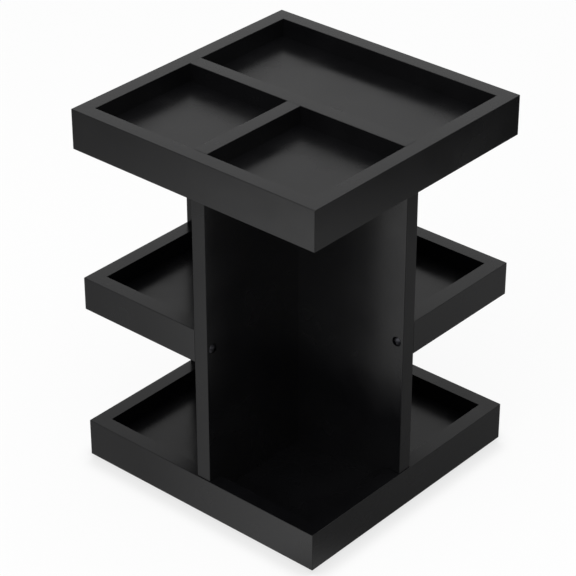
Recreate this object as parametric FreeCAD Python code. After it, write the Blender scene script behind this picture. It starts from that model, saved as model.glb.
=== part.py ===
import FreeCAD, Part
import math
import os

# Square revolving organizer of black boards: a base tray on a ball-bearing turntable, four
# uprights that part the tower into two tall bays and two shelved ones, and a divided top tray.
# Millimetres. Z is up, and the origin is the centre of the underside, on the surface it
# stands on. Seen from the front, -Y and +X are the two faces that meet at the near corner.

# Widths, measured over the outer faces
top_width = 280.0
base_inset = 1.5
tower_inset = 2.5

# Boards
wall = 15.0
upright_t = 15.0
divider_t = 15.0
floor_t = 9.0

# The boards' arrises are eased, by no more than this share of a board's thickness
arris = 0.5
arris_limit = 0.3

# Heights
overall_height = 371.0
floor_gap = 4.5
base_recess = 18.0
shelf_recess = 18.0
top_recess = 18.0
shelf_skirt = 6.5
top_skirt = 12.5
shelf_rim_height = 199.5

# The top tray's long divider lies a little behind the middle
divider_offset = 3.5

# Glued joints between boards. The trays' floors lie in grooves in their walls, the uprights'
# ends in housings in those floors, and one upright's end has a tongue in the other's face
groove_depth = 5.0
housing_depth = 3.0
tongue_t = 5.0
tongue_depth = 5.0
joint_gap = 0.3
notch_gap = 0.3

# Button-head socket bolts that hold the shelves' walls, and their threaded inserts
bolt_d = 5.0
bolt_head_d = 9.5
bolt_head_h = 2.75
bolt_socket_af = 3.0
bolt_socket_depth = 1.6
bolt_bite = 20.0
bolt_end_gap = 1.0
insert_d = 8.0
insert_length = 13.0
insert_sink = 0.5
insert_to_groove = 0.5
hole_fit = 0.15

# Countersunk screws that come up through the base tray's floor into the uprights
upright_screw_count = 2
base_screw_d = 4.0
base_screw_head_d = 8.0
base_screw_bite = 26.0

# Turntable: two square stamped plates that ride on one ring of balls
turntable_h = 8.0
plate_width = 102.0
plate_corner_r = 8.0
sheet = 1.0
ball_d = 4.8
ball_count = 16
track_r = 25.0
race_gap = 0.25
lip_rise = 1.3
web_run = 2.5
web_margin = 2.0
eye_r = 13.0
hook_gap = 0.4
hook_overlap = 3.0
cage_t = 1.4
cage_width = 8.0
cage_window_gap = 0.25

# Turntable screws
plate_hole_inset = 11.0
plate_screw_d = 3.6
plate_screw_head_d = 7.2
plate_screw_head_h = 2.2
board_skin = 1.5

# Foot board under the turntable, with rubber pads and an access hole for the upper screws
foot_board_d = 200.0
foot_board_t = 5.5
access_hole_d = 14.0
pad_count = 4
pad_d = 18.0
pad_h = 2.5
pad_rim_gap = 5.0

# Screws, inserts and balls are small and mostly hidden, so their rounds are drawn in flats
screw_sides = 10
ball_sides = 8
ball_bands = 4

# Widths and levels that follow
top_half = top_width / 2
base_half = top_half - base_inset
tower_half = top_half - tower_inset
foot_board_z = pad_h
turntable_z = foot_board_z + foot_board_t
turntable_mid = turntable_z + turntable_h / 2
base_floor_z = turntable_z + turntable_h
base_deck_z = base_floor_z + floor_t
base_rim_z = base_deck_z + base_recess
shelf_deck_z = shelf_rim_height - shelf_recess
shelf_floor_z = shelf_deck_z - floor_t
shelf_edge_z = shelf_floor_z - shelf_skirt
top_deck_z = overall_height - top_recess
top_floor_z = top_deck_z - floor_t
top_edge_z = top_floor_z - top_skirt
foot_z = base_deck_z - housing_depth
head_z = top_floor_z + housing_depth

# The shelves' bolts run along the middle of their walls, and the shelves' floors stop short
# of the inserts
bolt_line = tower_half - wall / 2
bolt_z = (shelf_edge_z + shelf_rim_height) / 2
shelf_inner = tower_half - wall
shelf_groove_depth = wall / 2 - insert_d / 2 - insert_to_groove

origin = FreeCAD.Vector(0, 0, 0)
up = FreeCAD.Vector(0, 0, 1)
along_x = FreeCAD.Vector(1, 0, 0)
along_y = FreeCAD.Vector(0, 1, 0)


def vec(x, y, z):
    """A point or a direction."""
    return FreeCAD.Vector(x, y, z)


def block(low, high):
    """A box between two opposite corners."""
    size = [b - a for a, b in zip(low, high)]
    return Part.makeBox(size[0], size[1], size[2], vec(*low))


def turned(shape, degrees):
    """A copy turned about the object's upright axis."""
    copy = shape.copy()
    copy.rotate(origin, up, degrees)
    return copy


def half_turned(shape):
    """A copy on the opposite side of the upright axis."""
    return turned(shape, 180)


def swapped(shape):
    """A copy mirrored in the vertical plane where X equals Y."""
    return shape.mirror(origin, vec(1, -1, 0))


def placed(shape, at, axis):
    """A shape made along +Z, stood at a point along an axis."""
    copy = shape.copy()
    copy.Placement = FreeCAD.Placement(at, FreeCAD.Rotation(up, axis))
    return copy


def disc(radius, thickness, at):
    """A round plate on a point, upwards."""
    return Part.makeCylinder(radius, thickness, at, up)


def faceted(levels, sides):
    """A turned piece drawn in flats, through (radius, z) levels along +Z."""
    step = 2 * math.pi / sides
    rings = []
    for radius, z in levels:
        turns = [(i + 0.5) * step for i in range(sides)]
        rings.append([vec(radius * math.cos(a), radius * math.sin(a), z) for a in turns])
    faces = []
    for (low_r, _), (high_r, _), low, high in zip(levels, levels[1:], rings, rings[1:]):
        for i in range(sides):
            after = (i + 1) % sides
            corners = [low[i]] if low_r == 0 else [low[i], low[after]]
            corners += [high[i]] if high_r == 0 else [high[after], high[i]]
            faces.append(Part.Face(Part.makePolygon(corners + corners[:1])))
    for (radius, _), outline in ((levels[0], rings[0]), (levels[-1], rings[-1])):
        if radius > 0:
            faces.append(Part.Face(Part.makePolygon(outline + outline[:1])))
    solid = Part.Solid(Part.Shell(faces))
    if solid.Volume < 0:
        solid.reverse()
    return solid


def pin(diameter, length, at, axis):
    """A straight pin, or the hole for one, from a point along an axis."""
    return placed(faceted([(diameter / 2, 0), (diameter / 2, length)], screw_sides), at, axis)


def bored(board, starts, axis, diameter, depth):
    """The board with a hole for a pin of that diameter from each point along an axis."""
    for start in starts:
        board = board.cut(pin(diameter + 2 * hole_fit, depth, start, axis))
    return board


def ends(edge):
    """The two end points of a straight edge."""
    return [vertex.Point for vertex in edge.Vertexes]


def lies_at(edge, axis, value):
    """Whether the whole edge lies at one coordinate along an axis (0, 1 or 2)."""
    return all(abs(point[axis] - value) < 1e-6 for point in ends(edge))


def eased(board, chosen, thickness):
    """The board with a small flat along each edge that chosen() picks."""
    edges = [edge for edge in board.Edges if chosen(edge)]
    return board.makeChamfer(min(arris, arris_limit * thickness), edges)


def spread(low, high, count):
    """Evenly spaced stations between two ends, half a step in from each."""
    step = (high - low) / count
    return [low + (i + 0.5) * step for i in range(count)]


def wall_board(half, start, low_z, high_z, deck_z, groove):
    """The wall on the +X side from y = start to the corner, rim eased and grooved for its floor."""
    inner = half - wall
    board = block((inner, start, low_z), (half, half, high_z))

    def rim(edge):
        return lies_at(edge, 2, high_z) and (lies_at(edge, 0, half) or lies_at(edge, 0, inner))

    board = eased(board, rim, wall)
    return board.cut(block((inner, start, deck_z - floor_t), (inner + groove, half, deck_z)))


def wedge(reach, near_slope, low_z, high_z):
    """The space between the corner diagonal and a line of the given slope, towards +X."""
    corners = [vec(0, 0, low_z), vec(reach, near_slope * reach, low_z), vec(reach, reach, low_z)]
    return Part.Face(Part.makePolygon(corners + corners[:1])).extrude(up * (high_z - low_z))


def tray_walls(prefix, half, low_z, high_z, deck_z):
    """The four mitred walls of a square tray, keyed by their nodes' names."""
    board = wall_board(half, -half, low_z, high_z, deck_z, groove_depth)
    board = board.common(wedge(2 * half, -1, low_z, high_z)).Solids[0]
    sides = {"right": 0, "back": 90, "left": 180, "front": 270}
    return {prefix + side: [turned(board, angle)] for side, angle in sides.items()}


def tray_floor(half, deck_z, uprights):
    """A square tray's floor, its rim in the walls' grooves and housed round the uprights' ends.

    A small clearance on the axis joins the housings of the two pairs."""
    reach = half - wall + groove_depth - joint_gap
    floor = block((-reach, -reach, deck_z - floor_t), (reach, reach, deck_z))
    for board in uprights:
        floor = floor.cut(board)
    return floor.cut(block((-joint_gap, -joint_gap, foot_z), (joint_gap, joint_gap, head_z)))


def upright(inner_end, near_face):
    """An upright along +X. Its outer corners are notched round the trays' walls."""
    far_face = near_face + upright_t
    board = block((inner_end, near_face, foot_z), (tower_half, far_face, head_z))
    low_notch = base_half - wall - notch_gap
    high_notch = top_half - wall - notch_gap
    board = board.cut(block((low_notch, near_face, foot_z), (tower_half, far_face, base_rim_z + notch_gap)))
    board = board.cut(block((high_notch, near_face, top_edge_z - notch_gap), (tower_half, far_face, head_z)))

    def outer_arris(edge):
        return lies_at(edge, 0, tower_half) and (lies_at(edge, 1, near_face) or lies_at(edge, 1, far_face))

    return eased(board, outer_arris, upright_t)


def plain_pair():
    """The near bay's two uprights, tongued together where they meet, before they are bored."""
    front = turned(upright(0, 0), -90)
    right = upright(upright_t, -upright_t)
    low_y = -upright_t / 2 - tongue_t / 2
    high_y = -upright_t / 2 + tongue_t / 2
    tongue_end = upright_t - tongue_depth
    right = right.fuse(block((tongue_end, low_y, foot_z), (upright_t, high_y, head_z))).removeSplitter()
    front = front.cut(block((tongue_end - joint_gap, low_y, foot_z), (upright_t, high_y, head_z)))
    return front, right


def base_screw_spots():
    """Where the screws come up through the base floor into the near bay's uprights."""
    reaches = spread(plate_width / 2, base_half - wall, upright_screw_count)
    middle = upright_t / 2
    front_spots = [vec(middle, -reach, base_floor_z) for reach in reaches]
    right_spots = [vec(reach, -middle, base_floor_z) for reach in reaches]
    return front_spots, right_spots


def bored_pair(front, right):
    """The two uprights grooved for the shelves' floors and bored for their bolts and screws."""
    groove = shelf_groove_depth + joint_gap
    run = shelf_inner + joint_gap
    right = right.cut(block((upright_t, -groove, shelf_floor_z), (run, 0, shelf_deck_z)))
    front = front.cut(block((0, -run, shelf_floor_z), (groove, 0, shelf_deck_z)))
    right = bored(right, [vec(bolt_line, -upright_t, bolt_z)], along_y, bolt_d, upright_t)
    front = bored(front, [vec(0, -bolt_line, bolt_z)], along_x, bolt_d, upright_t)
    front_spots, right_spots = base_screw_spots()
    depth = floor_t + base_screw_bite + bolt_end_gap
    front = bored(front, front_spots, up, base_screw_d, depth)
    right = bored(right, right_spots, up, base_screw_d, depth)
    return front, right


def shelf_floor():
    """The rear-right shelf's floor, with a tongue along each upright and its rim in the walls."""
    reach = shelf_inner + shelf_groove_depth - joint_gap
    board = block((0, 0, shelf_floor_z), (reach, reach, shelf_deck_z))
    side = block((upright_t, -shelf_groove_depth, shelf_floor_z), (shelf_inner, 0, shelf_deck_z))
    rear = block((-shelf_groove_depth, 0, shelf_floor_z), (0, shelf_inner, shelf_deck_z))
    return board.fuse([side, rear]).removeSplitter()


def shelf_wall():
    """The rear-right shelf's outer wall on the +X side, bored for its bolt and insert."""
    board = wall_board(tower_half, 0, shelf_edge_z, shelf_rim_height, shelf_deck_z, shelf_groove_depth)
    board = board.common(wedge(2 * tower_half, 0, shelf_edge_z, shelf_rim_height)).Solids[0]
    mouth = vec(bolt_line, 0, bolt_z)
    board = bored(board, [mouth], along_y, bolt_d, bolt_bite + bolt_end_gap)
    return bored(board, [mouth], along_y, insert_d, insert_sink + insert_length)


def shelf_bolt():
    """A button-head bolt with a hexagon socket, through the right upright into the shelf's wall."""
    head_r = bolt_head_d / 2
    crown_r = (head_r ** 2 + bolt_head_h ** 2) / (2 * bolt_head_h)
    crown = Part.makeSphere(crown_r, vec(0, 0, crown_r - bolt_head_h))
    head = crown.common(disc(head_r, bolt_head_h, vec(0, 0, -bolt_head_h)))
    shank = pin(bolt_d, upright_t + bolt_bite, origin, up)
    corner_r = bolt_socket_af / math.sqrt(3)
    socket = faceted([(corner_r, -bolt_head_h), (corner_r, bolt_socket_depth - bolt_head_h)], 6)
    return placed(head.fuse(shank).cut(socket), vec(bolt_line, -upright_t, bolt_z), along_y)


def bolt_insert():
    """The threaded sleeve sunk in the end of the shelf's wall for that bolt."""
    sleeve = pin(insert_d, insert_length, origin, up)
    sleeve = bored(sleeve, [origin], up, bolt_d, insert_length)
    return placed(sleeve, vec(bolt_line, insert_sink, bolt_z), along_y)


def base_screw(at, gap):
    """A countersunk screw, flush with the base floor's underside. The gap grows it all round."""
    head_r = base_screw_head_d / 2 + gap
    shank_r = base_screw_d / 2 + gap
    length = floor_t + base_screw_bite
    levels = [(head_r, 0), (shank_r, head_r - shank_r), (shank_r, length)]
    return placed(faceted(levels, screw_sides), at, up)


def plate_hole_spots(z):
    """Where a turntable plate is screwed down, one spot near each corner."""
    reach = plate_width / 2 - plate_hole_inset
    return [vec(side_x * reach, side_y * reach, z) for side_x in (-1, 1) for side_y in (-1, 1)]


def plate_screw(at, axis, bite):
    """A pan-head screw whose head seats on a plate, with its shank in the board behind."""
    head_r = plate_screw_head_d / 2
    shank_r = plate_screw_d / 2
    levels = [(head_r, -plate_screw_head_h), (head_r, 0), (shank_r, 0), (shank_r, sheet + bite)]
    return placed(faceted(levels, screw_sides), at, axis)


def parallel(path, distance):
    """The path at a distance to the left of another, in the XZ plane, with mitred corners."""
    runs = [((b[0] - a[0]), (b[1] - a[1])) for a, b in zip(path, path[1:])]
    lengths = [math.hypot(dx, dz) for dx, dz in runs]
    normals = [(-dz / length, dx / length) for (dx, dz), length in zip(runs, lengths)]
    befores = normals[:1] + normals
    afters = normals + normals[-1:]
    result = []
    for (x, z), (bx, bz), (ax, az) in zip(path, befores, afters):
        share = distance / (1 + bx * ax + bz * az)
        result.append((x + (bx + ax) * share, z + (bz + az) * share))
    return result


def race_path():
    """The ball side of a plate from its lip to its flat, measured from the balls' level.

    The race is the upper half of an octagon round the balls."""
    clear_r = ball_d / 2 + race_gap
    crown = clear_r * math.tan(math.pi / 8)
    foot = crown + clear_r - lip_rise
    flat = turntable_h / 2 - sheet
    return [
        (track_r - foot, lip_rise),
        (track_r - crown, clear_r),
        (track_r + crown, clear_r),
        (track_r + foot, lip_rise),
        (track_r + foot + web_run, flat),
        (track_r + foot + web_run + web_margin, flat),
    ]


def stamped_plate(path):
    """A plate pressed from square sheet, whose formed middle follows the path's section."""
    outline = path + parallel(path, sheet)[::-1]
    points = [vec(x, 0, z) for x, z in outline]
    formed = Part.Face(Part.makePolygon(points + points[:1])).revolve(origin, up, 360)
    half = plate_width / 2
    low_z = turntable_h / 2 - sheet
    high_z = turntable_h / 2
    flat = block((-half, -half, low_z), (half, half, high_z))
    corners = [edge for edge in flat.Edges if not (lies_at(edge, 2, low_z) or lies_at(edge, 2, high_z))]
    flat = flat.makeFillet(plate_corner_r, corners)
    flat = flat.cut(disc(path[-1][0], sheet, vec(0, 0, low_z)))
    flat = bored(flat, plate_hole_spots(low_z), up, plate_screw_d, sheet)
    return formed.fuse(flat).removeSplitter()


def upper_plate():
    """The plate that turns, pressed down to a lip round its eye."""
    lip = (eye_r + sheet + hook_gap, lip_rise)
    plate = stamped_plate([lip] + race_path())
    plate.translate(vec(0, 0, turntable_mid))
    return plate


def lower_plate():
    """The plate that stands still. Its collar comes up through the eye and hooks over the lip."""
    collar_r = eye_r + sheet
    hook_z = -(lip_rise + sheet + hook_gap)
    hook = [(collar_r + hook_gap + hook_overlap, hook_z), (collar_r, hook_z), (collar_r, lip_rise)]
    plate = stamped_plate(hook + race_path())
    plate.rotate(origin, along_x, 180)
    plate.translate(vec(0, 0, turntable_mid))
    return plate


def round_track(shape):
    """Copies of a shape that stands on the track at +X, evenly round the ring of balls."""
    return [turned(shape, 360 * i / ball_count) for i in range(ball_count)]


def balls():
    """The ring of steel balls."""
    radius = ball_d / 2
    levels = []
    for i in range(ball_bands + 1):
        height = -math.cos(math.pi * i / ball_bands)
        width = math.sin(math.pi * i / ball_bands) if 0 < i < ball_bands else 0
        levels.append((radius * width, radius * height))
    return round_track(placed(faceted(levels, ball_sides), vec(track_r, 0, turntable_mid), up))


def ball_cage():
    """The ring that keeps the balls apart, with a straight side and a square window for each."""
    low = turntable_mid - cage_t / 2
    high = turntable_mid + cage_t / 2
    outer_r = (track_r + cage_width / 2) / math.cos(math.pi / ball_count)
    inner_r = (track_r - cage_width / 2) / math.cos(math.pi / ball_count)
    cage = faceted([(outer_r, low), (outer_r, high)], ball_count)
    cage = cage.cut(faceted([(inner_r, low), (inner_r, high)], ball_count))
    reach = ball_d / 2 + cage_window_gap
    window = block((track_r - reach, -reach, low), (track_r + reach, reach, high))
    return cage.cut(round_track(window))


def foot_board():
    """The round board that stays put, with its screw holes and one access hole."""
    board = disc(foot_board_d / 2, foot_board_t, vec(0, 0, foot_board_z))
    board = bored(board, plate_hole_spots(turntable_z), -up, plate_screw_d, foot_board_t - board_skin)
    reach = math.sqrt(2) * (plate_width / 2 - plate_hole_inset)
    return board.cut(disc(access_hole_d / 2, foot_board_t, vec(reach, 0, foot_board_z)))


def foot_pads():
    """The rubber pads under the foot board, between the plate's corners and its rim."""
    reach = foot_board_d / 2 - pad_rim_gap - pad_d / 2
    pad = turned(disc(pad_d / 2, pad_h, vec(reach, 0, 0)), 180 / pad_count)
    return [turned(pad, 360 * i / pad_count) for i in range(pad_count)]


def dividers():
    """The long divider across the top tray and the short one that butts on its front."""
    inner = top_half - wall
    front = divider_offset - divider_t / 2
    back = divider_offset + divider_t / 2
    half = divider_t / 2
    long_one = block((-inner, front, top_deck_z), (inner, back, overall_height))
    short_one = block((-half, -inner, top_deck_z), (half, front, overall_height))

    def long_rim(edge):
        return lies_at(edge, 2, overall_height) and (lies_at(edge, 1, front) or lies_at(edge, 1, back))

    def short_rim(edge):
        return lies_at(edge, 2, overall_height) and (lies_at(edge, 0, -half) or lies_at(edge, 0, half))

    return eased(long_one, long_rim, divider_t), eased(short_one, short_rim, divider_t)


def tower_nodes():
    """The base tray, the uprights and the top tray."""
    front, right = plain_pair()
    uprights = [front, right, half_turned(front), half_turned(right)]
    base_floor = tray_floor(base_half, base_deck_z, uprights)
    top_floor = tray_floor(top_half, top_deck_z, uprights)
    front, right = bored_pair(front, right)
    for spot in sum(base_screw_spots(), []):
        sink = base_screw(spot, hole_fit)
        base_floor = base_floor.cut([sink, half_turned(sink)])
    depth = floor_t - board_skin
    base_floor = bored(base_floor, plate_hole_spots(base_floor_z), up, plate_screw_d, depth)
    long_one, short_one = dividers()
    nodes = {"base_floor": [base_floor]}
    nodes.update(tray_walls("base_wall_", base_half, floor_gap, base_rim_z, base_deck_z))
    nodes["upright_front"] = [front]
    nodes["upright_right"] = [right]
    nodes["upright_back"] = [half_turned(front)]
    nodes["upright_left"] = [half_turned(right)]
    nodes["top_floor"] = [top_floor]
    nodes.update(tray_walls("top_wall_", top_half, top_edge_z, overall_height, top_deck_z))
    nodes["divider_long"] = [long_one]
    nodes["divider_short"] = [short_one]
    return nodes


def shelf_nodes():
    """The right shelf, and the left one, which is the same turned half round."""
    floor = shelf_floor()
    side = shelf_wall()
    rear = swapped(side)
    return {
        "right_shelf_floor": [floor],
        "right_shelf_wall_right": [side],
        "right_shelf_wall_back": [rear],
        "left_shelf_floor": [half_turned(floor)],
        "left_shelf_wall_left": [half_turned(side)],
        "left_shelf_wall_front": [half_turned(rear)],
    }


def fastener_nodes():
    """The shelves' bolts and inserts, and the screws under the base floor."""
    bolts = [shelf_bolt(), swapped(shelf_bolt())]
    inserts = [bolt_insert(), swapped(bolt_insert())]
    screws = [base_screw(spot, 0) for spot in sum(base_screw_spots(), [])]
    return {
        "shelf_bolts": bolts + [half_turned(bolt) for bolt in bolts],
        "shelf_bolt_inserts": inserts + [half_turned(insert) for insert in inserts],
        "base_screws": screws + [half_turned(screw) for screw in screws],
    }


def turntable_nodes():
    """The turntable, its screws up into the base floor and down into the foot board."""
    upper_bite = floor_t - board_skin - hole_fit
    lower_bite = foot_board_t - board_skin - hole_fit
    upper_spots = plate_hole_spots(base_floor_z - sheet)
    lower_spots = plate_hole_spots(turntable_z + sheet)
    return {
        "turntable_upper_plate": [upper_plate()],
        "turntable_upper_screws": [plate_screw(spot, up, upper_bite) for spot in upper_spots],
        "turntable_ball_cage": [ball_cage()],
        "turntable_balls": balls(),
        "turntable_lower_plate": [lower_plate()],
        "turntable_lower_screws": [plate_screw(spot, -up, lower_bite) for spot in lower_spots],
    }


def foot_nodes():
    """What stands on the table and stays put."""
    return {"foot_board": [foot_board()], "foot_pads": foot_pads()}


os.makedirs("parts", exist_ok=True)
nodes = {**tower_nodes(), **shelf_nodes(), **fastener_nodes(), **turntable_nodes(), **foot_nodes()}
for name, solids in nodes.items():
    shape = solids[0] if len(solids) == 1 else Part.makeCompound(solids)
    shape.exportStep("parts/" + name + ".step")
    print(name, len(solids), round(shape.Volume), shape.isValid())
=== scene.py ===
"""Dresses the revolving organizer: lacquered boards, their fasteners, the turntable and its foot.

Lengths are in metres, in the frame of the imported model. Z is up, and the near corner of the tower
is the one between +X and -Y.
"""
import logging
import math
from collections.abc import Callable, Iterable, Sequence
from dataclasses import dataclass, field
from enum import Enum
from itertools import pairwise
from typing import NamedTuple

import bmesh
import bpy
from bmesh.types import BMesh, BMVert
from bpy.types import Camera, Light, Material, Mesh, NodeOutputs, NodeSocket, NodeTree, Object, World
from mathutils import Matrix, Vector


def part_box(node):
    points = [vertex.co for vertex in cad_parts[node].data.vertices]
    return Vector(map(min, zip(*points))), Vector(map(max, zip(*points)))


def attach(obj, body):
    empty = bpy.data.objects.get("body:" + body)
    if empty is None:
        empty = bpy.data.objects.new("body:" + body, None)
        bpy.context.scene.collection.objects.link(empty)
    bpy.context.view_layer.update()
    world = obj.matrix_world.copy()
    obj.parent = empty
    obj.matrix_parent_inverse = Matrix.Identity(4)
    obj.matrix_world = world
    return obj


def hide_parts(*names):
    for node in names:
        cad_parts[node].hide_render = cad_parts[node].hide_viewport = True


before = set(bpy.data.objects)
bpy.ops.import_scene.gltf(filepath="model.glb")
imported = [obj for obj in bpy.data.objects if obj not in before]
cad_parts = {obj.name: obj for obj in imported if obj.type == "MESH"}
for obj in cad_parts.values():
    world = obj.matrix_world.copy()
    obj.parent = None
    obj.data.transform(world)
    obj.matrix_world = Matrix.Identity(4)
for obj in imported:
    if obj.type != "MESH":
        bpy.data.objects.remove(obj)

log = logging.getLogger("organizer")

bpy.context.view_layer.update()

MM = 0.001
UP = Vector((0, 0, 1))
WELD = 1e-6
TOUCH = 1e-5
SHARP_ANGLE = math.radians(38)

# How far a cutter or a tongue passes the face that it starts from
OVERCUT = 1 * MM

# The levels between which most of a noise lies
NOISE_LEVELS = (0.3, 0.7)

Point2 = tuple[float, float]
Point3 = Sequence[float]
EdgeTest = Callable[[Vector, Vector], bool]


class Quarter(Enum):
    """Which way a board faces, as its turn from the one that faces +X."""

    RIGHT = 0
    BACK = 90
    LEFT = 180
    FRONT = 270


class Motif(Enum):
    """How a surface was worked, which sets the pattern that it carries."""

    SPRAYED = "sprayed"
    ROLLED = "rolled"
    TURNED = "turned"
    POLISHED = "polished"
    MOULDED = "moulded"


# Nodes


def add(tree: NodeTree, kind: str, inputs: dict | Sequence = (), output: int | str = 0,
        **settings: object) -> NodeSocket | None:
    """Adds a node, with its settings and what feeds its inputs.

    Args:
        tree: The tree that gets the node.
        kind: The node's type name.
        inputs: Values, or sockets to link, by the inputs' names or in the inputs' order.
        output: The name or number of the output that is wanted.
        settings: Properties to set on the node.

    Returns:
        That output, or None from a node that has none.
    """
    node = tree.nodes.new(kind)
    for key, value in settings.items():
        setattr(node, key, value)
    feeds = inputs if isinstance(inputs, dict) else dict(enumerate(inputs))
    for key, value in feeds.items():
        if isinstance(value, NodeSocket):
            tree.links.new(value, node.inputs[key])
        else:
            node.inputs[key].default_value = value
    return node.outputs[output] if node.outputs else None


def emptied(owner: Material | World) -> NodeTree:
    """Switches a material or a world to nodes.

    Args:
        owner: The material or the world.

    Returns:
        Its tree, with nothing in it.
    """
    owner.use_nodes = True
    owner.node_tree.nodes.clear()
    return owner.node_tree


def linear(colour: str) -> tuple[float, float, float, float]:
    """Turns an sRGB hex colour to the linear values that a socket takes.

    Args:
        colour: The colour as "#rrggbb".

    Returns:
        Red, green, blue and an alpha of 1.
    """
    shares = [int(colour[i:i + 2], 16) / 255 for i in (1, 3, 5)]
    red, green, blue = (s / 12.92 if s <= 0.04045 else ((s + 0.055) / 1.055) ** 2.4 for s in shares)
    return (red, green, blue, 1.0)


# Finishes


@dataclass(frozen=True)
class Finish:
    """A real material and how its surface was made."""

    name: str
    slot: str
    colour: str
    tint: str
    motif: Motif
    roughness: float
    roughness_swing: float = 0.05
    metallic: float = 0.0
    ior: float = 1.5
    specular: float = 0.5
    grain: float = 1.5 * MM
    relief: float = 0.01 * MM
    patch_grains: float = 30.0
    ring_grains: float = 20.0
    streak: float = 10.0

    def material(self) -> Material:
        """Builds the material once, and gives the same one after that.

        Returns:
            The material, with its pattern on Object coordinates.
        """
        found = bpy.data.materials.get(self.name)
        if found:
            return found
        material = bpy.data.materials.new(self.name)
        tree = emptied(material)
        cloud, fine = self.pattern(tree)
        shade = add(tree, "ShaderNodeMix",
                    {"Factor": cloud, "A": linear(self.colour), "B": linear(self.tint)},
                    "Result", data_type="RGBA")
        swing = self.roughness_swing
        gloss = add(tree, "ShaderNodeMapRange",
                    (cloud, *NOISE_LEVELS, self.roughness - swing, self.roughness + swing))
        bump = add(tree, "ShaderNodeBump", {"Height": fine, "Distance": self.relief, "Strength": 1.0})
        shader = add(tree, "ShaderNodeBsdfPrincipled",
                     {"Base Color": shade, "Roughness": gloss, "Normal": bump, "Metallic": self.metallic,
                      "IOR": self.ior, "Specular IOR Level": self.specular})
        add(tree, "ShaderNodeOutputMaterial", {"Surface": shader})
        return material

    def pattern(self, tree: NodeTree) -> tuple[NodeSocket, NodeSocket]:
        """Lays the surface's pattern for its motif.

        Args:
            tree: The material's tree.

        Returns:
            A slow variation for colour and gloss, and a fine height for the relief.
        """
        place = add(tree, "ShaderNodeTexCoord", output="Object")
        if self.motif is Motif.ROLLED:
            # Rolled sheet: faint streaks along X
            place = add(tree, "ShaderNodeMapping", {"Vector": place, "Scale": (1 / self.streak, 1.0, 1.0)})
        if self.motif is Motif.TURNED:
            # Turned or drawn bar: rings across the piece's length
            fine = add(tree, "ShaderNodeTexWave",
                       {"Vector": place, "Scale": 1 / (self.ring_grains * self.grain), "Distortion": 0.5},
                       "Fac", wave_type="RINGS", rings_direction="SPHERICAL")
        else:
            fine = add(tree, "ShaderNodeTexNoise",
                       {"Vector": place, "Scale": 1 / self.grain, "Detail": 1.0, "Roughness": 0.4}, "Fac")
        cloud = add(tree, "ShaderNodeTexNoise",
                    {"Vector": place, "Scale": 1 / (self.patch_grains * self.grain), "Detail": 2.0,
                     "Roughness": 0.55}, "Fac")
        return cloud, fine


# Fibreboard sprayed with satin black lacquer: an even, soft sheen with the faint orange peel
# of a spray gun, about 2 mm across, and no grain
LACQUER = Finish("satin_black_lacquer_sprayed", "black_board", "#050506", "#08080a", Motif.SPRAYED,
                 roughness=0.24, roughness_swing=0.06, grain=2.0 * MM, relief=0.03 * MM)

# The same lacquer on a board's cut edge, which soaks it up and dries a little duller
LACQUERED_EDGE = Finish("satin_black_lacquer_on_cut_edge", "black_board", "#050506", "#08080a",
                        Motif.SPRAYED, roughness=0.3, specular=0.4, grain=2.0 * MM, relief=0.03 * MM)

# Black-oxide steel, chemically blackened: a dark, slightly oily metal gloss
BLACK_OXIDE = Finish("black_oxide_steel_headed", "black_screw", "#28282b", "#303033", Motif.POLISHED,
                     roughness=0.3, metallic=1.0, grain=0.8 * MM, relief=0.004 * MM)

# Free-cutting brass, turned: warm yellow with fine tool rings
BRASS = Finish("brass_turned", "insert_brass", "#c8a45a", "#b18c46", Motif.TURNED,
               roughness=0.28, metallic=1.0, grain=0.3 * MM, relief=0.006 * MM)

# Cold-rolled steel sheet, bright zinc plated and pressed: pale blue-grey with faint rolling streaks
ZINC_SHEET = Finish("zinc_plated_sheet_pressed", "zinc_plate", "#b4b8bb", "#9fa4a8", Motif.ROLLED,
                    roughness=0.34, roughness_swing=0.08, metallic=1.0, grain=1.2 * MM,
                    relief=0.006 * MM)

# Zinc-plated wood screw, cold headed and thread rolled: paler and warmer than the sheet
ZINC_SCREW = Finish("zinc_plated_screw_rolled", "zinc_screw", "#bdbcb2", "#a8a89e", Motif.POLISHED,
                    roughness=0.3, metallic=1.0, grain=0.6 * MM, relief=0.004 * MM)

# Bearing steel, ground and lapped: close to a mirror
BALL_STEEL = Finish("bearing_steel_lapped", "bearing_steel", "#c9cacc", "#c2c3c6", Motif.POLISHED,
                    roughness=0.08, roughness_swing=0.02, metallic=1.0, grain=0.4 * MM,
                    relief=0.0005 * MM)

# Natural nylon, injection moulded: milky, with a soft low gloss
NYLON = Finish("natural_nylon_moulded", "cage_plastic", "#ded9cb", "#d3cdbd", Motif.MOULDED,
               roughness=0.45, ior=1.53, grain=1.0 * MM, relief=0.008 * MM)

# Black rubber, moulded: dull, with a fine grain that keeps it from sliding
RUBBER = Finish("black_rubber_moulded", "pad_rubber", "#1b1b1b", "#232322", Motif.MOULDED,
                roughness=0.82, ior=1.52, specular=0.3, grain=0.5 * MM, relief=0.03 * MM)


# Solids


def circle(radius: float, sides: int, x: float = 0.0, y: float = 0.0) -> list[Point2]:
    """Spaces points evenly round a circle about a centre."""
    turns = [2 * math.pi * i / sides for i in range(sides)]
    return [(x + radius * math.cos(a), y + radius * math.sin(a)) for a in turns]


def join_rows(bm: BMesh, rows: Iterable[Sequence[BMVert]]) -> None:
    """Fills the strips between rows of corners that each go round.

    Args:
        bm: The mesh that has the corners.
        rows: The rows, with as many corners each.
    """
    for here, there in pairwise(rows):
        for i, after in enumerate([*range(1, len(here)), 0]):
            bm.faces.new((here[i], here[after], there[after], there[i]))


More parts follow.
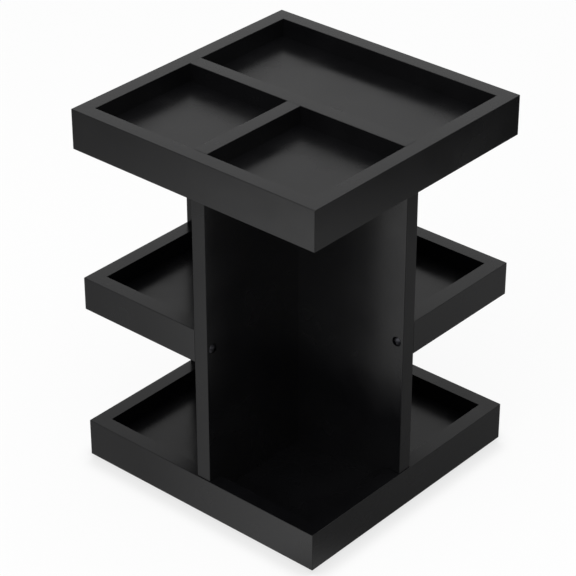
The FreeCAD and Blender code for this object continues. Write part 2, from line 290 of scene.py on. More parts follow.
def lofted(rows: Sequence[Sequence[Point3]], closed: bool = False) -> BMesh:
    """Makes a solid through rows of points that each go round.

    Args:
        rows: The rows, with as many points each.
        closed: Whether the last row meets the first. Otherwise both are capped.

    Returns:
        The closed solid, with its faces outwards and its poles welded.
    """
    bm = bmesh.new()
    made = [[bm.verts.new(point) for point in row] for row in rows]
    if closed:
        made.append(made[0])
    else:
        bm.faces.new(made[0])
        bm.faces.new(made[-1])
    join_rows(bm, made)
    bmesh.ops.remove_doubles(bm, verts=bm.verts, dist=WELD)
    bmesh.ops.recalc_face_normals(bm, faces=bm.faces)
    return bm


def block(low: Point3, high: Point3) -> BMesh:
    """Makes a box between its lowest and its highest corner."""
    (x0, y0, z0), (x1, y1, z1) = low, high
    return lofted([[(x0, y0, z), (x1, y0, z), (x1, y1, z), (x0, y1, z)] for z in (z0, z1)])


def revolved(profile: Sequence[Point2], sides: int) -> BMesh:
    """Revolves a closed (radius, height) profile about the upright axis."""
    return lofted([[(x, y, z) for x, y in circle(radius, sides)] for radius, z in profile], closed=True)


def tapered(outline: Sequence[Point2], depth: float, share: float) -> BMesh:
    """Makes a drive's cutter, from above the head to a share of the outline at a depth."""
    ends = ((-OVERCUT, 1.0), (0.0, 1.0), (depth, share))
    return lofted([[(x * size, y * size, z) for x, y in outline] for z, size in ends])


def hexagon(across: float) -> list[Point2]:
    """A hexagon of a width across its flats."""
    return circle(across / math.sqrt(3), 6)


def cross(span: float, width: float) -> list[Point2]:
    """A cross of a span over its arms, each of a width."""
    s, w = span / 2, width / 2
    return [(s, -w), (s, w), (w, w), (w, s), (-w, s), (-w, w),
            (-s, w), (-s, -w), (-w, -w), (-w, -s), (w, -s), (w, -w)]


def ease(bm: BMesh, chosen: EdgeTest, radius: float) -> None:
    """Rounds the edges of a solid that a test picks.

    Args:
        bm: The solid.
        chosen: Takes an edge's two ends and tells whether it is rounded.
        radius: How far the round comes in from the edge.
    """
    edges = [edge for edge in bm.edges if chosen(edge.verts[0].co, edge.verts[1].co)]
    bmesh.ops.bevel(bm, geom=edges, offset=radius, segments=3, profile=0.5, affect="EDGES",
                    clamp_overlap=True)


def turned(shape: BMesh | Mesh, degrees: float) -> BMesh | Mesh:
    """Turns a shape about the upright axis and gives it back."""
    shape.transform(Matrix.Rotation(math.radians(degrees), 4, "Z"))
    return shape


def at_level(level: float) -> EdgeTest:
    """A test for edges that lie wholly at one height."""
    return lambda a, b: max(abs(a.z - level), abs(b.z - level)) < TOUCH


def bore(start: Vector, axis: Vector, diameter: float, depth: float, sides: int = 24) -> BMesh:
    """Makes the cutter of a round hole.

    Args:
        start: The middle of the hole's mouth.
        axis: The way into the board.
        diameter: The hole's width.
        depth: The hole's depth.
        sides: How many sides the round has.

    Returns:
        The cutter, which starts a little above the mouth.
    """
    above, radius = OVERCUT / 2, diameter / 2
    solid = revolved([(0, -above), (radius, -above), (radius, depth), (0, depth)], sides)
    turn = UP.rotation_difference(axis).to_matrix().to_4x4()
    solid.transform(Matrix.Translation(start) @ turn)
    return solid


# Pieces


def linked(name: str, data: Mesh | Camera | Light) -> Object:
    """Makes the object of some data, at the origin.

    Args:
        name: The object's name.
        data: What it shows.

    Returns:
        The object, linked to the scene.
    """
    made = bpy.data.objects.new(name, data)
    bpy.context.scene.collection.objects.link(made)
    return made


def to_object(bm: BMesh, name: str) -> Object:
    """Turns a solid to an object and frees it.

    Args:
        bm: The solid.
        name: The object's name.

    Returns:
        The object, linked to the scene.
    """
    mesh = bpy.data.meshes.new(name)
    bm.to_mesh(mesh)
    bm.free()
    return linked(name, mesh)


def baked(obj: Object) -> Object:
    """Turns an object's modifiers into plain mesh.

    Args:
        obj: The object with its modifiers.

    Returns:
        The same object with the evaluated mesh and no modifiers.
    """
    graph = bpy.context.evaluated_depsgraph_get()
    graph.update()
    mesh = bpy.data.meshes.new_from_object(obj.evaluated_get(graph), preserve_all_data_layers=True,
                                           depsgraph=graph)
    obj.modifiers.clear()
    obj.data = mesh
    return obj


def carved(obj: Object, cutters: Sequence[BMesh], operation: str = "DIFFERENCE") -> Object:
    """Cuts grooves and bores into a piece, or joins tongues to it.

    Args:
        obj: The piece.
        cutters: Closed solids that don't touch each other, which are freed.
        operation: The Boolean modifier's operation.

    Returns:
        The piece with a plain mesh.
    """
    whole = bmesh.new()
    for cutter in cutters:
        mesh = bpy.data.meshes.new("part")
        cutter.to_mesh(mesh)
        cutter.free()
        whole.from_mesh(mesh)
        bpy.data.meshes.remove(mesh)
    tool = to_object(whole, "cutter")
    modifier = obj.modifiers.new("carve", "BOOLEAN")
    modifier.operation = operation
    modifier.solver = "EXACT"
    modifier.object = tool
    baked(obj)
    bpy.data.objects.remove(tool)
    return obj


def smoothed(obj: Object) -> Object:
    """Shades the rounds smooth and keeps the flats flat.

    Args:
        obj: The piece.

    Returns:
        The piece, with normals weighted by the faces' sizes.
    """
    obj.data.shade_smooth()
    obj.data.set_sharp_from_angle(angle=SHARP_ANGLE)
    modifier = obj.modifiers.new("weigh", "WEIGHTED_NORMAL")
    modifier.keep_sharp = True
    modifier.weight = 100
    return baked(obj)


def painted(obj: Object, finish: Finish) -> None:
    """Gives an object one finish in place of what it had.

    Args:
        obj: The object.
        finish: What it is made of.
    """
    obj.data.materials.clear()
    obj.data.materials.append(finish.material())
    log.info("%s: %d faces, %s", obj.name, len(obj.data.polygons), finish.name)


def dressed(obj: Object, finish: Finish, body: str, node: str) -> Object:
    """Gives a finished piece its material and its body, and hides the CAD node that it stands for.

    Args:
        obj: The piece.
        finish: What it is made of.
        body: The body that it rides on.
        node: The CAD node that it replaces.

    Returns:
        The piece.
    """
    painted(obj, finish)
    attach(obj, body)
    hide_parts(node)
    return obj


def middle_of(points: Sequence[Vector]) -> Vector:
    """The mean of some points."""
    return sum(points, Vector()) / len(points)


def loose_parts(node: str) -> list[list[Vector]]:
    """Finds the separate solids of a CAD node.

    Args:
        node: The node's name.

    Returns:
        For each solid, its corner points.
    """
    bm = bmesh.new()
    bm.from_mesh(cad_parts[node].data)
    bmesh.ops.remove_doubles(bm, verts=bm.verts, dist=TOUCH)
    parts: list[list[Vector]] = []
    left = dict.fromkeys(bm.verts)
    while left:
        queue = [left.popitem()[0]]
        part = []
        while queue:
            vert = queue.pop()
            part.append(vert.co.copy())
            for other in [edge.other_vert(vert) for edge in vert.link_edges]:
                if other in left:
                    del left[other]
                    queue.append(other)
        parts.append(part)
    bm.free()
    return sorted(parts, key=lambda points: tuple(round(v, 4) for v in middle_of(points)))


# Boards


@dataclass
class Walled:
    """Mitred walls round a floor that sits in their grooves."""

    prefix: str
    arris: float = 0.5 * MM
    joint_gap: float = 0.3 * MM

    def __post_init__(self) -> None:
        """Reads the sizes from the CAD nodes of the right wall and the floor."""
        low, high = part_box(f"{self.prefix}_wall_right")
        floor_low, floor_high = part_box(f"{self.prefix}_floor")
        self.inner, self.outer = low.x, high.x
        self.foot, self.rim = low.z, high.z
        self.under, self.deck = floor_low.z, floor_high.z
        self.groove = floor_high.x + self.joint_gap

    def eased_edge(self, a: Vector, b: Vector) -> bool:
        """Tells whether an edge is along the rim, along the lower outer arris or at an outer corner.

        Args:
            a: One end.
            b: The other end.

        Returns:
            Whether it is.
        """
        if abs(a.z - b.z) > TOUCH:
            return all(min(abs(p.x), abs(p.y)) > self.outer - TOUCH for p in (a, b))
        along = min(abs(a.x - b.x), abs(a.y - b.y)) < TOUCH and (a - b).length > self.inner / 2
        outer = all(max(abs(p.x), abs(p.y)) > self.outer - TOUCH for p in (a, b))
        return along and (at_level(self.rim)(a, b) or outer and at_level(self.foot)(a, b))

    def wall(self, stations: Sequence[Point2], *kept: Vector) -> BMesh:
        """Sweeps the wall's grooved section round its corners and cuts it at the mitres.

        Args:
            stations: For each corner or end, how the reach is shared out on X and Y.
            kept: For each cut, the way to the side that stays. With two the sweep goes all round.

        Returns:
            The eased wall.
        """
        section = [
            (self.outer, self.foot), (self.outer, self.rim), (self.inner, self.rim),
            (self.inner, self.deck), (self.groove, self.deck), (self.groove, self.under),
            (self.inner, self.under), (self.inner, self.foot),
        ]
        rows = [[(sx * reach, sy * reach, z) for reach, z in section] for sx, sy in stations]
        solid = lofted(rows, closed=len(kept) > 1)
        ease(solid, self.eased_edge, self.arris)
        for normal in kept:
            bmesh.ops.bisect_plane(solid, geom=[*solid.verts, *solid.edges, *solid.faces], dist=WELD,
                                   plane_co=(0, 0, 0), plane_no=normal, clear_inner=True)
            open_edges = [edge for edge in solid.edges if edge.is_boundary]
            bmesh.ops.holes_fill(solid, edges=open_edges, sides=0)
        return solid


@dataclass
class Tray(Walled):
    """A square tray of four walls."""

    def build(self) -> None:
        """Makes each wall as one side of an eased ring, cut at its mitres, and coats the floor."""
        corners = [(1, -1), (1, 1), (-1, 1), (-1, -1)]
        for side in Quarter:
            node = f"{self.prefix}_wall_{side.name.lower()}"
            wall = turned(self.wall(corners, Vector((1, -1, 0)), Vector((1, 1, 0))), side.value)
            dressed(smoothed(to_object(wall, f"{node}_board")), LACQUER, "carousel", node)
        painted(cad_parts[f"{self.prefix}_floor"], LACQUER)


@dataclass
class Shelves(Walled):
    """Two corner shelves half a turn apart, each with a floor and two mitred, bolted walls."""

    insert_hole: float = 8.3 * MM
    insert_depth: float = 13.5 * MM
    bolt_hole: float = 5.3 * MM
    bolt_depth: float = 21 * MM

    def build(self) -> None:
        """Makes the walls, each with a hole for its insert and bolt, and coats the floors."""
        x, y = Vector((1, 0, 0)), Vector((0, 1, 0))
        plans = ((x, y, "right_shelf_wall_right", "left_shelf_wall_left"),
                 (y, x, "right_shelf_wall_back", "left_shelf_wall_front"))
        holes = ((self.insert_hole, self.insert_depth), (self.bolt_hole, self.bolt_depth))
        for across, along, *nodes in plans:
            mouth = across * (self.inner + self.outer) / 2 + UP * (self.foot + self.rim) / 2
            for node, degrees in zip(nodes, (0, 180)):
                solid = self.wall([(1, 0), (1, 1), (0, 1)], across - along)
                wall = to_object(solid, f"{node}_board")
                for diameter, depth in holes:
                    carved(wall, [bore(mouth, along, diameter, depth)])
                turned(wall.data, degrees)
                dressed(smoothed(wall), LACQUER, "carousel", node)
        for side in ("right", "left"):
            painted(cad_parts[f"{side}_shelf_floor"], LACQUER)


@dataclass
class Uprights:
    """Four boards that part the tower, in two tongued pairs half a turn apart."""

    arris: float = 0.5 * MM
    tongue: float = 5 * MM
    joint_gap: float = 0.3 * MM
    shelf_groove: float = 3.3 * MM
    bolt_hole: float = 5.3 * MM
    pilot_hole: float = 4.3 * MM
    pilot_depth: float = 27 * MM

    def __post_init__(self) -> None:
        """Reads the boards' sizes from their CAD nodes and from what is round them."""
        low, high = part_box("upright_right")
        self.thick = -low.y
        self.inner, self.outer = low.x, high.x
        self.foot, self.head = low.z, high.z
        base_low, base_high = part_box("base_wall_right")
        top_low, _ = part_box("top_wall_right")
        self.low_notch, self.base_rim = base_low.x - self.joint_gap, base_high.z + self.joint_gap
        self.high_notch, self.top_edge = top_low.x - self.joint_gap, top_low.z - self.joint_gap
        shelf_low, shelf_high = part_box("right_shelf_floor")
        self.shelf_under, self.shelf_deck = shelf_low.z, shelf_high.z
        shelf_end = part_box("right_shelf_wall_right")[0].x
        self.groove_end = shelf_end + self.joint_gap
        bolt_low, bolt_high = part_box("shelf_bolts")
        self.bolt_at = ((shelf_end + self.outer) / 2, (bolt_low.z + bolt_high.z) / 2)

    def board(self, start: float, near: float) -> BMesh:
        """Makes a board along +X, notched round the trays' walls, with eased outer arrises.

        Args:
            start: Its inner end.
            near: Its near face.

        Returns:
            The board.
        """
        outline = [
            (start, self.foot), (self.low_notch, self.foot), (self.low_notch, self.base_rim),
            (self.outer, self.base_rim), (self.outer, self.top_edge), (self.high_notch, self.top_edge),
            (self.high_notch, self.head), (start, self.head),
        ]
        solid = lofted([[(x, y, z) for x, z in outline] for y in (near, near + self.thick)])
        ease(solid, lambda a, b: abs(a.z - b.z) > TOUCH and min(a.x, b.x) > self.outer - TOUCH,
             self.arris)
        return solid

    def cuts(self, start: float, near: float, sides: Point2, degrees: float) -> list[BMesh]:
        """Makes the cutters of a board's shelf groove, its bolt hole and its screws' pilot holes.

        Args:
            start: Where the groove starts, before the board is turned.
            near: The board's near face then.
            sides: The groove's two sides then.
            degrees: How far the board is turned from +X.

        Returns:
            The cutters, turned with the board.
        """
        reach, level = self.bolt_at
        cutters = [
            block((start, sides[0], self.shelf_under), (self.groove_end, sides[1], self.shelf_deck)),
            bore(Vector((reach, near, level)), Vector((0, 1, 0)), self.bolt_hole, self.thick + OVERCUT),
        ]
        back = Matrix.Rotation(math.radians(-degrees), 4, "Z")
        for screw in loose_parts("base_screws"):
            spot = back @ middle_of(screw)
            off_middle = abs(spot.y - near - self.thick / 2)
            if spot.x > 0 and off_middle < MM:
                spot.z = self.foot
                cutters.append(bore(spot, UP, self.pilot_hole, self.pilot_depth))
        return [turned(cutter, degrees) for cutter in cutters]

    def key(self, slack: float, over: float) -> BMesh:
        """Makes the tongue, or the cutter of its groove, which is deeper and passes the ends."""
        middle, half = -self.thick / 2, self.tongue / 2
        return block((self.inner - slack, middle - half, self.foot - over),
                     (self.thick + OVERCUT, middle + half, self.head + over))

    def right(self) -> Object:
        """Makes the board along +X, with its tongue, shelf groove and holes.

        Returns:
            The board.
        """
        board = to_object(self.board(self.thick, -self.thick), "upright")
        carved(board, [self.key(0.0, 0.0)], "UNION")
        return carved(board, self.cuts(self.thick, -self.thick, (-self.shelf_groove, OVERCUT), 0))

    def front(self) -> Object:
        """Makes the board along -Y, grooved for the other's tongue and the left shelf."""
        board = to_object(turned(self.board(0, 0), -90), "upright")
        return carved(board, [self.key(self.joint_gap, OVERCUT),
                              *self.cuts(-OVERCUT, 0, (-OVERCUT, self.shelf_groove), -90)])

    def dull_edge(self, board: Object) -> None:
        """Gives a board's open outer edge its duller finish.

        Args:
            board: The board, turned to its place.
        """
        board.data.materials.append(LACQUERED_EDGE.material())
        for face in board.data.polygons:
            if max(abs(face.center.x), abs(face.center.y)) > self.outer - self.arris:
                face.material_index = 1

    def build(self) -> None:
        """Makes the near pair and the same pair turned half round."""
        for make, sides in ((self.right, ("right", "left")), (self.front, ("front", "back"))):
            board = make()
            for side, degrees in zip(sides, (0, 180)):
                piece = linked(f"upright_{side}_board", turned(board.data.copy(), degrees))
                self.dull_edge(dressed(smoothed(piece), LACQUER, "carousel", f"upright_{side}"))
            bpy.data.objects.remove(board)


@dataclass
class Dividers:
    """The top tray's long divider and the short one that butts on its front."""

    arris: float = 0.5 * MM

    def build(self) -> None:
        """Makes both dividers with eased upper arrises."""
        for node, axis in (("divider_long", 0), ("divider_short", 1)):
            low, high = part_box(node)
            solid = block(low, high)
            rim = at_level(high.z)
            ease(solid, lambda a, b: rim(a, b) and abs(a[axis] - b[axis]) > TOUCH, self.arris)
            dressed(smoothed(to_object(solid, f"{node}_board")), LACQUER, "carousel", node)


# Repeated pieces


class Spot(NamedTuple):
    """The place and the axis of a piece."""

    place: Vector
    axis: Vector


def spots_of(node: str) -> list[Spot]:
    """Finds where the solids of a CAD node stand.

    Args:
        node: A node of turned solids that lie along X, Y or Z.

    Returns:
        For each solid, the middle of its wider end and its axis from there.
    """
    spots = []
    for part in loose_parts(node):
        low = Vector([min(p[i] for p in part) for i in range(3)])
        high = Vector([max(p[i] for p in part) for i in range(3)])
        size, middle = high - low, (low + high) / 2
        gaps = [abs(size[(i + 1) % 3] - size[(i + 2) % 3]) for i in range(3)]
        long_way = gaps.index(min(gaps))
        ends = {-1: 0.0, 1: 0.0}
        for point in part:
            side = 1 if point[long_way] > middle[long_way] else -1
            away = point - middle
            away[long_way] = 0
            ends[side] = max(ends[side], away.length)
        axis = Vector()
        axis[long_way] = -1 if ends[1] > ends[-1] + TOUCH else 1
        spots.append(Spot(middle - axis * size[long_way] / 2, axis))
    return spots


def middles_of(node: str) -> list[Spot]:
    """The middles of a CAD node's solids."""
    return [Spot(middle_of(part), UP) for part in loose_parts(node)]


def point_object(name: str, points: Sequence[Point3], label: str, values: Sequence) -> Object:
    """Makes an object of loose points that carry an attribute.

    Args:
        name: The object's name.
        points: The points.
        label: The attribute's name.
        values: A number or a vector for each point.

    Returns:
        The object.
    """
    mesh = bpy.data.meshes.new(name)
    mesh.from_pydata(points, [], [])
    is_vector = isinstance(values[0], Vector)
    carried = mesh.attributes.new(label, "FLOAT_VECTOR" if is_vector else "FLOAT", "POINT")
    for item, value in zip(carried.data, values):
        setattr(item, "vector" if is_vector else "value", value)
    return linked(name, mesh)


def spot_object(name: str, spots: Sequence[Spot]) -> Object:
    """Makes the object whose points carry the spots' axes."""
    return point_object(name, [spot.place for spot in spots], "axis", [spot.axis for spot in spots])


def new_tree(name: str, inputs: dict[str, str]) -> tuple[NodeTree, NodeOutputs]:
    """Starts a Geometry Nodes tree that takes a geometry and a material and gives a geometry.

    Args:
        name: The tree's name.
        inputs: The kind of each other input, by its name.

    Returns:
        The tree and what its inputs give.
    """
    tree = bpy.data.node_groups.new(name, "GeometryNodeTree")
    for label, kind in {"Geometry": "Geometry", **inputs, "Material": "Material"}.items():
        tree.interface.new_socket(label, in_out="INPUT", socket_type=f"NodeSocket{kind}")
    tree.interface.new_socket("Geometry", in_out="OUTPUT", socket_type="NodeSocketGeometry")
    return tree, add(tree, "NodeGroupInput").node.outputs


def copied(tree: NodeTree, points: NodeSocket, piece: NodeSocket, **turn: NodeSocket) -> NodeSocket:
    """Stands a piece on every point, turned if a rotation is given, and makes the copies real."""
    copies = add(tree, "GeometryNodeInstanceOnPoints", {"Points": points, "Instance": piece, **turn})
    return add(tree, "GeometryNodeRealizeInstances", {"Geometry": copies})


def close_tree(tree: NodeTree, geometry: NodeSocket, material: NodeSocket) -> None:
    """Gives a tree's result its material and its way out."""
    coated = add(tree, "GeometryNodeSetMaterial", {"Geometry": geometry, "Material": material})
    add(tree, "NodeGroupOutput", {"Geometry": coated})


def run_tree(obj: Object, tree: NodeTree, values: dict[str, object]) -> Object:
    """Runs a Geometry Nodes tree on an object and keeps the result as a plain mesh.

    Args:
        obj: The object that the tree takes.
        tree: The tree.
        values: The value of each named input.

    Returns:
        The object with the made mesh.
    """
    modifier = obj.modifiers.new(tree.name, "NODES")
    modifier.node_group = tree
    for item in tree.interface.items_tree:
        if item.name in values:
            modifier[item.identifier] = values[item.name]
    obj.update_tag()
    return baked(obj)


def turned_piece_tree() -> NodeTree:
    """Builds, once, the tree that turns a profile into a piece and stands it on every spot.

    The profile's helix weight cuts a thread into it, and the drive is cut into its head.

    Returns:
        The tree.
    """
    name = "turned pieces on spots"
    if name in bpy.data.node_groups:
        return bpy.data.node_groups[name]
    tree, given = new_tree(name, {
        "Profile": "Object", "Drive": "Object", "Sides": "Int", "Thread pitch": "Float",
        "Thread depth": "Float", "Roll": "Float", "Seed": "Int"})

    # A grid with a row for each of the profile's points, which is wrapped round the axis
    line = add(tree, "GeometryNodeObjectInfo", {"Object": given["Profile"]}, "Geometry")
    count = add(tree, "GeometryNodeAttributeDomainSize", {"Geometry": line}, "Point Count")
    columns = add(tree, "ShaderNodeMath", (given["Sides"], 1.0), operation="ADD")
    grid = add(tree, "GeometryNodeMeshGrid", {"Vertices X": columns, "Vertices Y": count,
                                              "Size X": 1.0, "Size Y": 1.0}).node.outputs
    share = add(tree, "ShaderNodeSeparateXYZ", (grid["UV Map"],)).node.outputs
    last = add(tree, "ShaderNodeMath", (count, 1.0), operation="SUBTRACT")
    row = add(tree, "ShaderNodeMath", (share["Y"], last), operation="MULTIPLY")
    index = add(tree, "ShaderNodeMath", (row,), operation="ROUND")
    where = add(tree, "GeometryNodeInputPosition")
    point = add(tree, "GeometryNodeSampleIndex", {"Geometry": line, "Value": where, "Index": index},
                "Value", data_type="FLOAT_VECTOR")
    level = add(tree, "ShaderNodeSeparateXYZ", (point,)).node.outputs
    weight = add(tree, "GeometryNodeInputNamedAttribute", {"Name": "helix"}, "Attribute",
                 data_type="FLOAT")
    helix = add(tree, "GeometryNodeSampleIndex", {"Geometry": line, "Value": weight, "Index": index},
                "Value", data_type="FLOAT")

    # The thread is a zigzag of the height in pitches, shifted by the share of the turn
    cut = level["Z"]
    for operation, operand in (
            ("DIVIDE", given["Thread pitch"]), ("SUBTRACT", share["X"]), ("PINGPONG", 0.5),
            ("MULTIPLY", 2.0), ("MULTIPLY", given["Thread depth"]), ("MULTIPLY", helix)):
        cut = add(tree, "ShaderNodeMath", (cut, operand), operation=operation)
    radius = add(tree, "ShaderNodeMath", (level["X"], cut), operation="SUBTRACT")
    angle = add(tree, "ShaderNodeMath", (share["X"], 2 * math.pi), operation="MULTIPLY")
    cosine, sine = (add(tree, "ShaderNodeMath", (angle,), operation=way) for way in ("COSINE", "SINE"))
    x, y = (add(tree, "ShaderNodeMath", (radius, way), operation="MULTIPLY") for way in (cosine, sine))
    placed = add(tree, "ShaderNodeCombineXYZ", (x, y, level["Z"]))
    skin = add(tree, "GeometryNodeSetPosition", {"Geometry": grid["Mesh"], "Position": placed})
    closed = add(tree, "GeometryNodeMergeByDistance", {"Geometry": skin, "Distance": WELD})
    drive = add(tree, "GeometryNodeObjectInfo", {"Object": given["Drive"]}, "Geometry")
    headed = add(tree, "GeometryNodeMeshBoolean", {"Mesh 1": closed, "Mesh 2": drive},
                 operation="DIFFERENCE", solver="EXACT")

    # Each piece points along its spot's axis and is rolled about it by chance
    axis = add(tree, "GeometryNodeInputNamedAttribute", {"Name": "axis"}, "Attribute",
               data_type="FLOAT_VECTOR")
    aim = add(tree, "FunctionNodeAlignRotationToVector", {"Vector": axis}, axis="Z")
    rolled = add(tree, "FunctionNodeRandomValue",
                 {"Min": 0.0, "Max": given["Roll"], "Seed": given["Seed"]}, "Value", data_type="FLOAT")
    spin = add(tree, "ShaderNodeCombineXYZ", {"Z": rolled})
    pose = add(tree, "FunctionNodeRotateRotation", {"Rotation": aim, "Rotate By": spin},
               rotation_space="LOCAL")
    close_tree(tree, copied(tree, given["Geometry"], headed, Rotation=pose), given["Material"])
    return tree


@dataclass
class Profile:
    """A turned piece's outline from its outer end, as points of radius, height and thread weight."""

    points: list[tuple[float, float, float]] = field(default_factory=list)

    def to(self, *points: Point2) -> "Profile":
        """Adds points with no thread."""
        self.points += [(radius, z, 0.0) for radius, z in points]
        return self

    def arc(self, centre: Point2, radius: float, start: float, end: float, steps: int) -> "Profile":
        """Adds an arc.

        Args:
            centre: Its centre.
            radius: Its radius.
            start: The angle that it starts at, in degrees, 0 along the piece's radius.
            end: The angle that it ends at.
            steps: How many facets it has.

        Returns:
            The profile.
        """
        for i in range(steps + 1):
            angle = math.radians(start + (end - start) * i / steps)
            self.to((centre[0] + radius * math.cos(angle), centre[1] + radius * math.sin(angle)))
        return self

    def thread(self, radius: float, start: float, end: float, step: float) -> "Profile":
        """Adds a threaded stretch that fades in and out over a step at its ends.

        Args:
            radius: The radius over the thread's crests.
            start: Its first height.
            end: Its last height.
            step: About how far its points are apart.

        Returns:
            The profile.
        """
        count = max(2, round((end - start) / step))
        for i in range(count + 1):
            self.points.append((radius, start + (end - start) * i / count, float(0 < i < count)))
        return self

    def to_object(self) -> Object:
        """The outline as points that a tree reads."""
        return point_object("profile", [(radius, 0, z) for radius, z, _ in self.points], "helix",
                            [weight for _, _, weight in self.points])


@dataclass
class TurnedPieces:
    """A group of alike turned pieces that stand for one CAD node."""

    node: str
    body: str
    finish: Finish
    sides: int = 24
    pitch: float = 1 * MM
    depth: float = 0.0
    roll: float = 0.0
    seed: int = 1

    def build(self, profile: Profile, label: str, drive: BMesh | None = None) -> None:
        """Runs the tree on the CAD node's spots and dresses the group.

        Args:
            profile: The outline of one piece.
            label: What the pieces are, for the object's name.
            drive: The cutter of their recess, if they have one.
        """
        line = profile.to_object()
        cutter = to_object(drive or bmesh.new(), "drive")
        group = spot_object(f"{self.node}_{label}", spots_of(self.node))
        run_tree(group, turned_piece_tree(), {
            "Profile": line, "Drive": cutter, "Sides": self.sides, "Thread pitch": self.pitch,
            "Thread depth": self.depth, "Roll": self.roll, "Seed": self.seed,
            "Material": self.finish.material(),
        })
        bpy.data.objects.remove(line)
        bpy.data.objects.remove(cutter)
        dressed(smoothed(group), self.finish, self.body, self.node)


@dataclass
class ShelfFasteners:
    """Button-head socket bolts through the uprights, and the threaded inserts that hold them."""

    head_d: float = 9.5 * MM
    head_h: float = 2.75 * MM
    rim_h: float = 0.3 * MM
    dome_steps: int = 10
    shank_d: float = 5 * MM
    neck: float = 0.3 * MM
    plain: float = 3 * MM
    tip_h: float = 0.8 * MM
    tip_in: float = 0.7 * MM
    pitch: float = 0.8 * MM
    thread_depth: float = 0.45 * MM
    length: float = 35 * MM
    socket: float = 3 * MM
    socket_depth: float = 1.6 * MM
    socket_taper: float = 0.99
    insert_d: float = 8 * MM
    insert_bore: float = 5.3 * MM
    insert_length: float = 13 * MM
    insert_chamfer: float = 0.3 * MM
    insert_lead: float = 0.8 * MM
    insert_tail: float = 0.6 * MM
    insert_nose: float = 0.5 * MM
    insert_pitch: float = 2.6 * MM
    insert_thread: float = 0.7 * MM
    soft: float = 0.1 * MM

    def bolts(self) -> None:
        """Makes the bolts, with a domed head, a hexagon socket and a rolled thread."""
        head_r, shank_r = self.head_d / 2, self.shank_d / 2
        dome_h = self.head_h - self.rim_h
        crown = (head_r ** 2 + dome_h ** 2) / (2 * dome_h)
        half = math.degrees(math.asin(head_r / crown))
        tip = self.head_h + self.length
        profile = Profile().arc((0, crown), crown, -90, -90 + half, self.dome_steps)
        profile.to((head_r, self.head_h - self.soft), (head_r - self.soft, self.head_h))
        profile.to((shank_r + self.neck, self.head_h), (shank_r, self.head_h + self.neck))
        profile.thread(shank_r, self.head_h + self.plain, tip - self.tip_h, step=self.pitch / 4)
        profile.to((shank_r - self.tip_in, tip), (0, tip))
        drive = tapered(hexagon(self.socket), self.socket_depth, self.socket_taper)
        TurnedPieces("shelf_bolts", "carousel", BLACK_OXIDE, sides=40, pitch=self.pitch,
                     depth=self.thread_depth, roll=math.pi, seed=7).build(profile, "button_head", drive)

    def inserts(self) -> None:
        """Makes the sleeves, with a coarse cutting thread outside."""
        outer, inner, end = self.insert_d / 2, self.insert_bore / 2, self.insert_length
        chamfer = self.insert_chamfer
        profile = Profile().to((inner, 0), (outer - chamfer, 0), (outer, chamfer))
        profile.thread(outer, self.insert_lead, end - self.insert_tail, step=self.insert_pitch / 8)
        profile.to((outer - self.insert_nose, end), (inner, end), (inner, 0))
        TurnedPieces("shelf_bolt_inserts", "carousel", BRASS, pitch=self.insert_pitch,
                     depth=self.insert_thread).build(profile, "threaded")

    def build(self) -> None:
        """Makes the bolts and their inserts."""
        self.bolts()
        self.inserts()


@dataclass
class WoodScrews:
    """Cross-recess wood screws for one CAD node, countersunk ones unless a pan's height is given.

    The recess's span and arms are shares of the head's width, its taper is what is left of them at
    the bottom, and the thread's depth is a share of the shank's radius.
    """

    node: str
    body: str
    head_d: float = 8 * MM
    shank_d: float = 4 * MM
    pitch: float = 1.8 * MM
    pan_h: float = 0.0
    recess: float = 1.6 * MM
    recess_span: float = 0.55
    recess_arm: float = 0.14
    recess_taper: float = 0.35
    thread_depth: float = 0.3
    soft: float = 0.1 * MM

    def __post_init__(self) -> None:
        """Reads the screws' length from their CAD node."""
        low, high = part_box(self.node)
        self.length = high.z - low.z
        self.head_r, self.shank_r = self.head_d / 2, self.shank_d / 2

    def pointed(self, head: Profile, start: float, cone: float, blunt: Point2) -> Profile:
        """Adds the thread and the point to a head.

        Args:
            head: The head's outline.
            start: The height that the thread starts at.
            cone: The point's length in radii of the shank.
            blunt: The radius of the point's blunt end and its length, in the same measure.

        Returns:
            The whole outline.
        """
        shank_r, end = self.shank_r, self.length
        head.thread(shank_r, start, end - cone * shank_r, step=self.pitch / 6)
        return head.to((blunt[0] * shank_r, end - blunt[1] * shank_r), (0, end))

    def countersunk(self) -> Profile:
        """Draws a flat head with a cone under it, a plain neck and a pointed thread.

        Returns:
            The outline.
        """
        rim, neck = 1.5 * self.soft, 0.35 * self.length
        head = Profile().to((0, 0), (self.head_r - self.soft, 0), (self.head_r, rim))
        head.to((self.shank_r, self.head_r - self.shank_r + self.soft))
        return self.pointed(head, neck, cone=1.8, blunt=(0.4, 0.6))

    def pan_head(self) -> Profile:
        """Draws a round-shouldered head and a pointed thread right under it.

        Returns:
            The outline.
        """
        shoulder, crown = 0.45 * self.pan_h, 0.3 * self.soft
        head = Profile().to((0, 0), (0.5 * self.head_r, crown))
        head.arc((self.head_r - shoulder, shoulder), shoulder, -90, 0, steps=6)
        head.to((self.head_r, self.pan_h - self.soft), (self.head_r - self.soft, self.pan_h))
        return self.pointed(head, self.pan_h, cone=1.2, blunt=(0.35, 0.3))

    def build(self) -> None:
        """Makes the screws, with a cross recess that narrows."""
        profile, label, seed, recess = self.countersunk(), "countersunk", 11, self.recess
        if self.pan_h:
            profile, label, seed, recess = self.pan_head(), "pan_head", 23, 0.7 * self.pan_h
        outline = cross(self.recess_span * self.head_d, self.recess_arm * self.head_d)
        drive = tapered(outline, recess, self.recess_taper)
        TurnedPieces(self.node, self.body, ZINC_SCREW, pitch=self.pitch, roll=math.pi, seed=seed,
                     depth=self.thread_depth * self.shank_r).build(profile, label, drive)


# Turntable and foot


